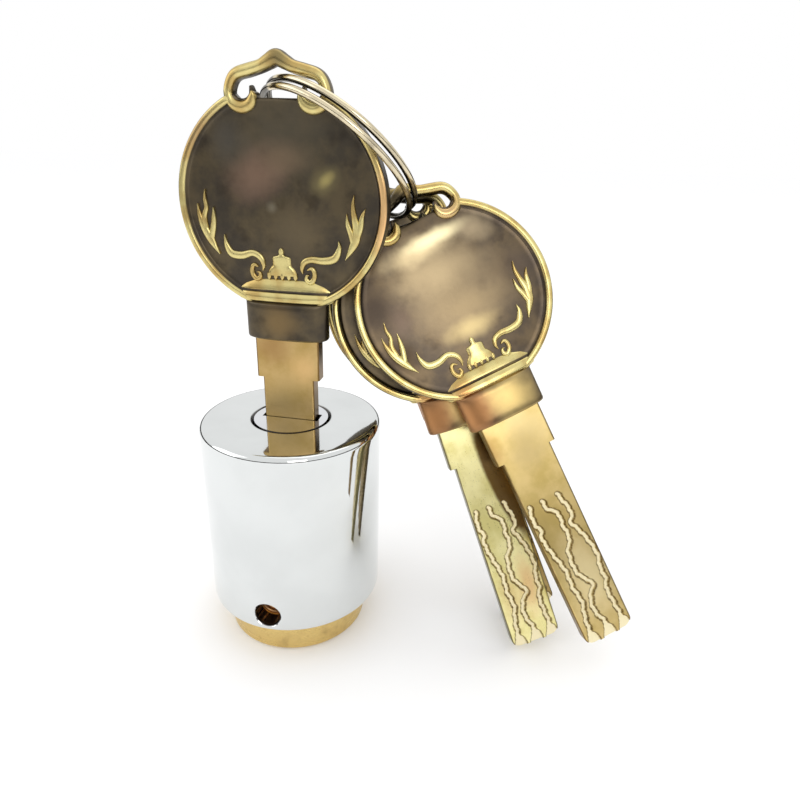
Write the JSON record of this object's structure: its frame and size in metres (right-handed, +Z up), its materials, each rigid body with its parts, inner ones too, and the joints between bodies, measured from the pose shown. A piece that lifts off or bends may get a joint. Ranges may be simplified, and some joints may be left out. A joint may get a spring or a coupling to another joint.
{
  "type": "roller shutter door lock",
  "caption": "Round roller shutter door lock with a chrome shell on a brass barrel, one flat dimple key in its plug and spare keys hanging on a split ring.",
  "frame": {"origin": "centre of the base's bottom face, on the lock's axis", "axes": "+Z up along the lock's axis, out of the plug's face; the key in the plug shows its front to -Y; the fixing hole opens to -Y"},
  "size_m": [0.0752, 0.0365, 0.0936],
  "materials": {
    "shell_chrome": "polished",
    "barrel_brass": "turned",
    "plug_chrome": "polished",
    "wafer_brass": "stamped",
    "spring_steel": "drawn wire",
    "screw_steel": "plated",
    "hard_steel": "hardened",
    "bow_antique_brass": "antiqued",
    "blade_brass": "milled",
    "ring_nickel": "bright wire"
  },
  "bodies": {
    "root": {"outer_shell": "shell_chrome", "lock_barrel": "barrel_brass", "back_cover": "barrel_brass", "cover_screws": "screw_steel", "drill_guard_pins": "hard_steel"},
    "plug_body": {"plug": "plug_chrome", "stop_washer": "screw_steel", "circlip": "hard_steel", "wafer_springs": "spring_steel", "wafer_1": "wafer_brass", "wafer_2": "wafer_brass", "wafer_3": "wafer_brass", "wafer_4": "wafer_brass", "wafer_5": "wafer_brass", "wafer_6": "wafer_brass", "wafer_7": "wafer_brass", "wafer_8": "wafer_brass", "wafer_9": "wafer_brass", "wafer_10": "wafer_brass"},
    "key_1": {"key_1_bow": "bow_antique_brass", "key_1_blade": "blade_brass"},
    "ring": {"split_ring": "ring_nickel"},
    "key_2": {"key_2_bow": "bow_antique_brass", "key_2_blade": "blade_brass"},
    "key_3": {"key_3_bow": "bow_antique_brass", "key_3_blade": "blade_brass"},
    "key_4": {"key_4_bow": "bow_antique_brass", "key_4_blade": "blade_brass"}
  },
  "joints": [
    {"name": "plug_turn", "type": "hinge", "parent": "root", "child": "plug_body", "pos_m": [0, 0, 0], "axis": [0, 0, 1], "range_deg": [-90, 90]},
    {"name": "key_slide", "type": "slide", "parent": "plug_body", "child": "key_1", "axis": [0, 0, 1], "range_m": [0, 0.032]},
    {"name": "ring_swing", "type": "hinge", "parent": "key_1", "child": "ring", "pos_m": [0.00003, 0.0006, 0.08953], "axis": [0.7434, -0.6686, -0.0191], "range_deg": [0, 30]},
    {"name": "key_2_swing", "type": "hinge", "parent": "ring", "child": "key_2", "pos_m": [0.01709, 0.01009, 0.07252], "axis": [0.262, -0.9007, 0.3466], "range_deg": [-1, 30]},
    {"name": "key_3_swing", "type": "hinge", "parent": "ring", "child": "key_3", "pos_m": [0.01492, 0.01351, 0.0716], "axis": [0.2654, -0.9124, 0.3115], "range_deg": [-8, 22]},
    {"name": "key_4_swing", "type": "hinge", "parent": "ring", "child": "key_4", "pos_m": [0.01216, 0.01624, 0.0715], "axis": [0.2701, -0.9286, 0.2546], "range_deg": [-8, 12]}
  ]
}
